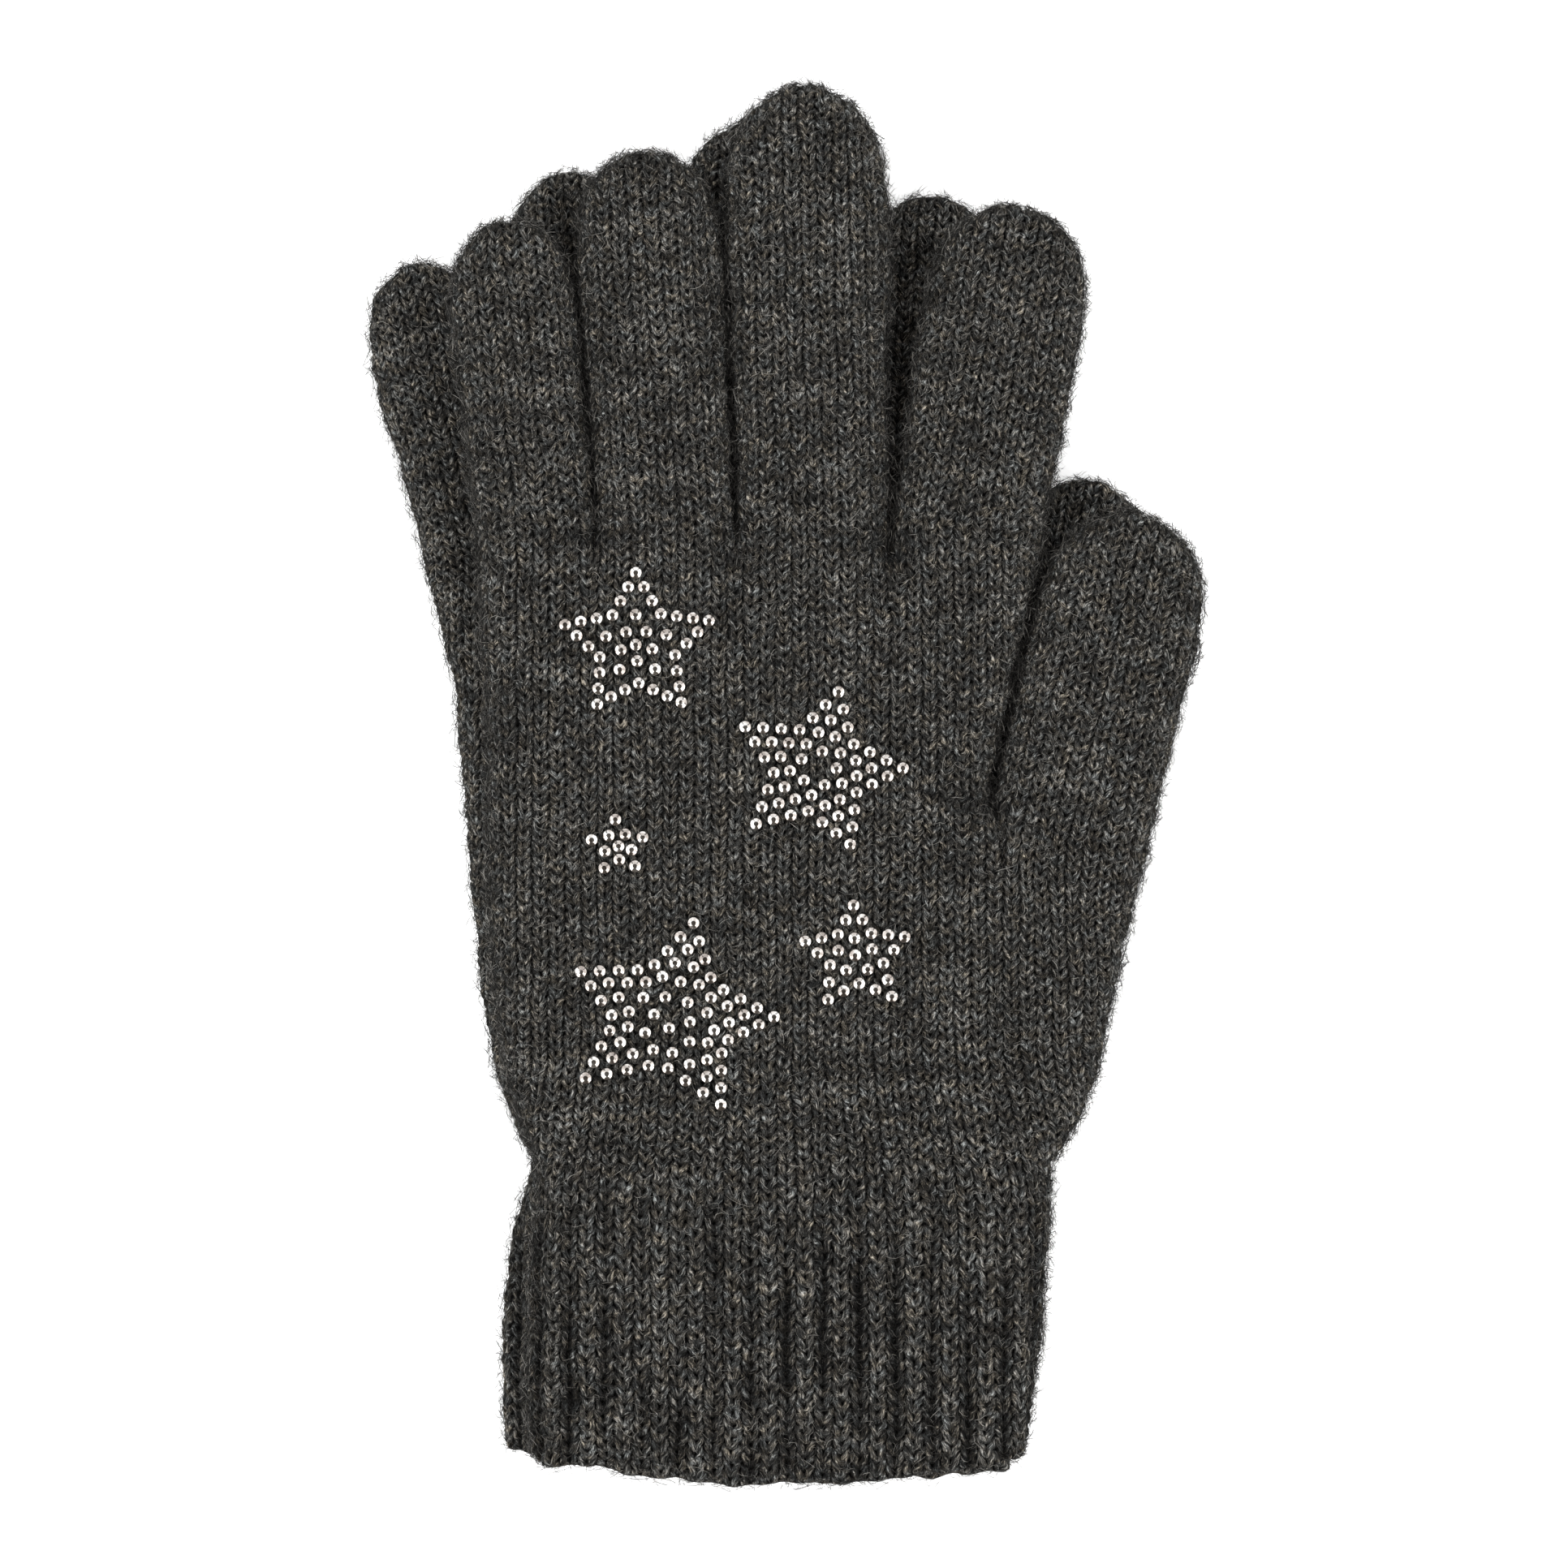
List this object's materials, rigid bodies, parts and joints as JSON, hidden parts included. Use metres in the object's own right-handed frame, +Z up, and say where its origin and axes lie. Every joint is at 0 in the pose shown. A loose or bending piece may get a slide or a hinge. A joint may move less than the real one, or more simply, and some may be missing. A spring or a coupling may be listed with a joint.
{
  "type": "knitted gloves",
  "caption": "Pair of fine-knit full-finger gloves with ribbed cuffs and stars of dome studs, stored flat and palm to palm.",
  "frame": {"origin": "bottom centre of the pair's bounding box, on the surface that the pair lies on", "axes": "+Y from the cuffs to the fingertips, +X to the thumbs, +Z up through the stack, from the right glove to the left glove"},
  "size_m": [0.1352, 0.2254, 0.0204],
  "materials": {
    "knit": "felted fine wool stockinette, matt",
    "ribbed_knit": "felted fine wool rib, matt",
    "stud": "polished dome with a small flat top"
  },
  "bodies": {
    "right_hand": {"right_palm": "knit", "right_knuckle_panel": "knit", "right_star_1": "stud", "right_star_2": "stud", "right_star_3": "stud", "right_star_4": "stud", "right_star_5": "stud", "right_cuff": "ribbed_knit"},
    "right_pinky": {"right_pinky": "knit"},
    "right_ring": {"right_ring": "knit"},
    "right_middle": {"right_middle": "knit"},
    "right_index": {"right_index": "knit"},
    "right_thumb": {"right_thumb": "knit"},
    "left_hand": {"left_palm": "knit", "left_knuckle_panel": "knit", "left_star_1": "stud", "left_star_2": "stud", "left_star_3": "stud", "left_star_4": "stud", "left_star_5": "stud"},
    "left_cuff": {"left_cuff": "ribbed_knit"},
    "left_pinky": {"left_pinky": "knit"},
    "left_ring": {"left_ring": "knit"},
    "left_middle": {"left_middle": "knit"},
    "left_index": {"left_index": "knit"},
    "left_thumb": {"left_thumb": "knit"}
  },
  "joints": [
    {"name": "left_glove_lift", "type": "slide", "parent": "right_hand", "child": "left_hand", "axis": [0, 0, 1], "range_m": [0, 0.12]},
    {"name": "left_pinky_fold", "type": "hinge", "parent": "left_hand", "child": "left_pinky", "pos_m": [-0.04006, 0.04106, 0.0196], "axis": [1, 0, 0], "range_deg": [0, 90]},
    {"name": "left_ring_fold", "type": "hinge", "parent": "left_hand", "child": "left_ring", "pos_m": [-0.01901, 0.04106, 0.0196], "axis": [1, 0, 0], "range_deg": [0, 90]},
    {"name": "left_middle_fold", "type": "hinge", "parent": "left_hand", "child": "left_middle", "pos_m": [0.00475, 0.04106, 0.0196], "axis": [1, 0, 0], "range_deg": [0, 90]},
    {"name": "left_index_fold", "type": "hinge", "parent": "left_hand", "child": "left_index", "pos_m": [0.02954, 0.04106, 0.0196], "axis": [1, 0, 0], "range_deg": [0, 90]},
    {"name": "left_thumb_fold", "type": "hinge", "parent": "left_hand", "child": "left_thumb", "pos_m": [0.04555, -0.00934, 0.0196], "axis": [0.8546, -0.5193, 0], "range_deg": [0, 90]},
    {"name": "left_cuff_fold", "type": "hinge", "parent": "left_hand", "child": "left_cuff", "pos_m": [0.00189, -0.0615, 0.0196], "axis": [-1, 0, 0], "range_deg": [0, 70]},
    {"name": "right_pinky_spread", "type": "hinge", "parent": "right_hand", "child": "right_pinky", "pos_m": [-0.0471, 0.01764, 0.0048], "axis": [0, 0, 1], "range_deg": [0, 12]},
    {"name": "right_ring_spread", "type": "hinge", "parent": "right_hand", "child": "right_ring", "pos_m": [-0.02611, 0.01965, 0.0048], "axis": [0, 0, 1], "range_deg": [0, 7]},
    {"name": "right_middle_spread", "type": "hinge", "parent": "right_hand", "child": "right_middle", "pos_m": [-0.00439, 0.0206, 0.0048], "axis": [0, 0, 1], "range_deg": [0, 2]},
    {"name": "right_index_spread", "type": "hinge", "parent": "right_hand", "child": "right_index", "pos_m": [0.02307, 0.02232, 0.0048], "axis": [0, 0, 1], "range_deg": [-4, 0]},
    {"name": "right_thumb_spread", "type": "hinge", "parent": "right_hand", "child": "right_thumb", "pos_m": [0.0309, -0.02408, 0.0048], "axis": [0, 0, 1], "range_deg": [-18, 0]}
  ],
  "couplings": [
    {"joint": "right_ring_spread", "follows": "right_pinky_spread", "ratio": 0.58333},
    {"joint": "right_middle_spread", "follows": "right_pinky_spread", "ratio": 0.16667},
    {"joint": "right_index_spread", "follows": "right_pinky_spread", "ratio": -0.33333}
  ]
}
